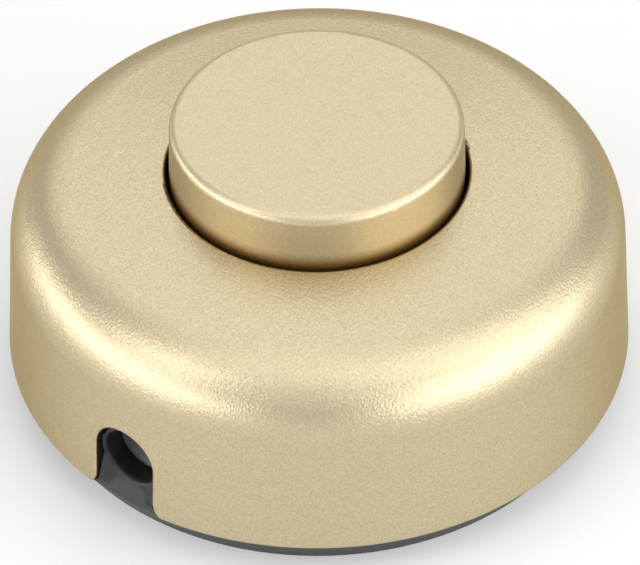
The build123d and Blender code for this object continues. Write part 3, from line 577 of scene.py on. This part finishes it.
for name in ("contact_star", "line_in_terminal", "line_out_terminal", "neutral_connector"):
    finishes[name] = brass
for name in ("line_in_contact", "line_out_contact"):
    finishes[name] = bronze
finishes["contact_rivets"] = silver
print("metals:", [metal.name for metal in (zinc, steel, strip_steel, brass, bronze, silver)])

# %% [markdown]
# ## Finishes on the pieces
#
# Every CAD piece comes with a plain slot for its material. Each slot now gets the finish that was
# made for it above; the shapes stay as they are. The return spring gets none, because the next step
# draws it again, in steel.

# %% Give the pieces their finishes
for name, finish in finishes.items():
    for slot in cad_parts[name].material_slots:
        slot.material = finish
print("finished pieces:", len(finishes), "of", len(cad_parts))

# %% [markdown]
# ## Return spring
#
# The button comes back up on a coil of round wire. In the CAD model the wire has eight flat sides,
# which is enough for weight and reach. Here the same helix is drawn again with a round section, a
# ring of points at every few degrees of the turn. A curve with a bevel would give the same tube, but
# the coil has to flatten as the button goes down, and that needs a mesh.

# %% Points and faces of the coil
WIRE_RADIUS = 0.4 * MM
COIL_RADIUS = 4.1 * MM     # to the middle of the wire
COIL_TURNS = 4.5
COIL_STEPS = 48            # rings of points in one turn
WIRE_SIDES = 16

low, high = (corner[2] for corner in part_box("return_spring"))
rise = high - low - 2 * WIRE_RADIUS
rings = int(COIL_TURNS * COIL_STEPS)
slope = math.atan2(rise, 2 * math.pi * COIL_TURNS * COIL_RADIUS)
points, faces = [], []
for ring in range(rings + 1):
    angle = 2 * math.pi * COIL_TURNS * ring / rings
    outward = Vector((math.cos(angle), math.sin(angle), 0))
    ahead = Vector((-math.sin(angle), math.cos(angle), 0))
    upward = Vector((0, 0, 1)) * math.cos(slope) - ahead * math.sin(slope)
    middle = outward * COIL_RADIUS + Vector((0, 0, low + WIRE_RADIUS + rise * ring / rings))
    for side in range(WIRE_SIDES):
        about = 2 * math.pi * side / WIRE_SIDES
        points.append(middle + (outward * math.cos(about) + upward * math.sin(about)) * WIRE_RADIUS)
for ring in range(rings):
    for side in range(WIRE_SIDES):
        start, after = ring * WIRE_SIDES, (side + 1) % WIRE_SIDES
        faces.append((start + side, start + side + WIRE_SIDES, start + after + WIRE_SIDES, start + after))
faces.append(tuple(range(WIRE_SIDES)))
faces.append(tuple(reversed(range(rings * WIRE_SIDES, (rings + 1) * WIRE_SIDES))))
print("coil:", len(points), "points,", round((high - low) / MM, 2), "mm high")

# %% [markdown]
# The coil stands on the bearing cap, which is part of the housing.

# %% Put the coil in its place
mesh = bpy.data.meshes.new("return_coil")
mesh.from_pydata(points, [], faces)
mesh.polygons.foreach_set("use_smooth", [len(face) == 4 for face in faces])
mesh.materials.append(steel)
coil = bpy.data.objects.new("return_coil", mesh)
scene.collection.objects.link(coil)
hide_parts("return_spring")
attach(coil, "housing")
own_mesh(coil)

# %% [markdown]
# ## Cord bushings
#
# Tongue and ring of a bushing flow into each other without a line, and the bore has a well rounded
# mouth, so that the cord isn't bent over an edge. The CAD solid has the same tongue, ring, bore and
# flange with crisp corners, and a pocket at each side under the ring. The corners could be rounded one
# by one with bevels. It is easier to fill the pockets, to melt the whole into one skin of voxels and
# to relax that skin around the mouth, while the flange and the flanks that touch the cover stay put.
#
# First the filling. It goes round the lower half of the ring, and at each side a cheek rises from the
# tongue towards the notch's wall.

# %% Filling under the ring
BORE_HEIGHT = 8.5 * MM          # of the bore's axis
BORE_RADIUS = 2.95 * MM
BUSHING_HALF_WIDTH = 3.3 * MM
FILL_WALL = 0.2 * MM            # from the bore to the filling
FILL_LOW = 4.6 * MM             # height of the filling's underside
FILL_ANGLE = math.radians(72)   # up to which the filling goes round the bore, from straight down
FILL_STEPS = 24                 # of the filling's arc
FILL_FRONT, FILL_BACK = -0.1 * MM, -1.4 * MM   # from the ring's face
# a cheek's inner side, its front at the wall and its height, at the foot and at the top
CHEEK = ((0.9 * MM, 0.95 * MM, 4.4 * MM), (3.1 * MM, -0.1 * MM, 7.5 * MM))


def filling_outline():
    """Points (y, z) of the filling: an arc under the bore, and straight sides."""
    reach = BORE_RADIUS + FILL_WALL
    turns = [FILL_ANGLE * (2 * step / FILL_STEPS - 1) for step in range(FILL_STEPS + 1)]
    arc = [(reach * math.sin(turn), BORE_HEIGHT - reach * math.cos(turn)) for turn in turns]
    right_side = [(BUSHING_HALF_WIDTH, z) for z in (arc[-1][1], FILL_LOW)]
    left_side = [(-BUSHING_HALF_WIDTH, z) for z in (FILL_LOW, arc[0][1])]
    return arc + right_side + left_side


def fill_pockets(form, way, face):
    """Filling and cheeks in a bushing's mesh, behind and beside the ring's face."""
    outline = filling_outline()
    front, rear = (
        [form.verts.new((way * (face + depth), y, z)) for y, z in outline]
        for depth in (FILL_FRONT, FILL_BACK)
    )
    faces = [form.faces.new(front), form.faces.new(rear)]
    for corner in range(len(outline)):
        faces.append(form.faces.new((front[corner - 1], front[corner], rear[corner], rear[corner - 1])))
    bmesh.ops.recalc_face_normals(form, faces=faces)
    wall = BUSHING_HALF_WIDTH
    for side in (1, -1):
        corners = []
        for inner, reach, z in CHEEK:
            plan = [(FILL_BACK, inner), (FILL_BACK, wall), (reach, wall), (FILL_FRONT, inner)]
            corners += [form.verts.new((way * (face + x), side * y, z)) for x, y in plan]
        bmesh.ops.convex_hull(form, input=corners)


print("filling:", len(filling_outline()), "corners")

# %% [markdown]
# Relaxing moves each point towards the middle of its neighbours, again and again, which rounds what
# is sharp and fills what is hollow. The voxels leave a small bevel along the foot as well, where the
# bushing stands on the base and no line may show. The foot is cut off above that bevel and drawn down
# again to a crisp edge.

# %% Soft mouth and crisp foot
RELAXED_DEPTH = 1.2 * MM   # behind the ring's face
RELAXED_LOW = 4.1 * MM     # height above which the skin is relaxed
RELAXED_HALF_WIDTH = 3.2 * MM   # between the flanks that touch the cover
RELAX_ROUNDS, RELAX_SHARE = 40, 0.5   # share of the way that a point moves in a round
FOOT_EDGE = 0.13 * MM      # height of the voxels' bevel along the foot
FOOT_DEPTH = 0.3 * MM      # from the rim inwards, where the points are drawn out to the rim


def relax_mouth(form, way, face):
    """Relaxed skin around a bushing's mouth."""
    mouth = [
        vertex
        for vertex in form.verts
        if way * vertex.co.x > face - RELAXED_DEPTH
        and vertex.co.z > RELAXED_LOW
        and abs(vertex.co.y) < RELAXED_HALF_WIDTH
    ]
    every_axis = {"use_axis_" + axis: True for axis in "xyz"}
    for _ in range(RELAX_ROUNDS):
        bmesh.ops.smooth_vert(form, verts=mouth, factor=RELAX_SHARE, **every_axis)


def sharpen_foot(form, foot, rim):
    """Crisp lower edge, at the height of the foot and out to the rim's radius."""
    everything = form.verts[:] + form.edges[:] + form.faces[:]
    level = (0, 0, foot + FOOT_EDGE)
    cut = bmesh.ops.bisect_plane(
        form, geom=everything, plane_co=level, plane_no=(0, 0, 1), clear_inner=True
    )["geom_cut"]
    open_edges = [part for part in cut if isinstance(part, bmesh.types.BMEdge)]
    skirt = bmesh.ops.extrude_edge_only(form, edges=open_edges)["geom"]
    lower = {part for part in skirt if isinstance(part, bmesh.types.BMVert)}
    for vertex in lower:
        radius = vertex.co.xy.length
        if radius > rim - FOOT_DEPTH:
            vertex.co.xy *= rim / radius
        vertex.co.z = foot
    edges = [part for part in skirt if isinstance(part, bmesh.types.BMEdge)]
    bmesh.ops.edgeloop_fill(form, edges=[edge for edge in edges if lower.issuperset(edge.verts)])
    bmesh.ops.recalc_face_normals(form, faces=form.faces[:])


print("relaxed:", RELAX_ROUNDS, "rounds")

# %% [markdown]
# Both bushings go through these steps. The place of the ring's face is read from the CAD mesh: it is
# the outermost point above the bore's axis. The tool that draws the foot down lists its new faces in
# an order that differs from run to run, so points, edges and faces are sorted by their places.

# %% Softened bushings
VOXEL = 0.1 * MM
CREASE = math.radians(35)  # edges that turn by more stay sharp


def put_in_order(elements, place):
    """Points, edges or faces of a mesh, sorted by a place that a function gives for each."""
    for index, element in enumerate(sorted(elements, key=place)):
        element.index = index
    elements.sort()


def softened(node, name):
    """Copy of a bushing with the pockets under its ring filled and a rounded mouth."""
    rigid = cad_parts[node].data
    way = math.copysign(1, rigid.vertices[0].co.x)   # to the outside: 1 or -1 along x
    face = max(way * vertex.co.x for vertex in rigid.vertices if vertex.co.z > BORE_HEIGHT)
    foot = min(vertex.co.z for vertex in rigid.vertices)
    rim = max(vertex.co.xy.length for vertex in rigid.vertices)

    # the solid with its pockets filled, still in separate shells
    filled = bpy.data.meshes.new(name)
    form = bmesh.new()
    form.from_mesh(rigid)
    fill_pockets(form, way, face)
    form.to_mesh(filled)
    form.free()

    # all shells in one skin
    bushing = bpy.data.objects.new(name, filled)
    scene.collection.objects.link(bushing)
    voxels = bushing.modifiers.new("voxels", "REMESH")
    voxels.mode = "VOXEL"
    voxels.voxel_size = VOXEL
    evaluated = bushing.evaluated_get(bpy.context.evaluated_depsgraph_get())
    skin = bpy.data.meshes.new_from_object(evaluated)
    bushing.modifiers.clear()

    # the skin with its soft mouth and crisp foot
    form = bmesh.new()
    form.from_mesh(skin)
    relax_mouth(form, way, face)
    sharpen_foot(form, foot, rim)
    put_in_order(form.verts, lambda vertex: vertex.co[:])
    put_in_order(form.edges, lambda edge: (edge.verts[0].co + edge.verts[1].co)[:])
    put_in_order(form.faces, lambda face: face.calc_center_median()[:])
    form.to_mesh(skin)
    form.free()

    skin.materials.clear()
    skin.materials.append(black_abs)
    skin.polygons.foreach_set("use_smooth", [True] * len(skin.polygons))
    skin.set_sharp_from_angle(angle=CREASE)
    bushing.data = skin
    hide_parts(node)
    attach(bushing, "housing")
    return bushing


for end in ("in", "out"):
    bushing = softened("cord_bushing_" + end, "soft_bushing_" + end)
    print(bushing.name, len(bushing.data.polygons), "faces")

# %% [markdown]
# ## End

# %% Finish
print("dressed")
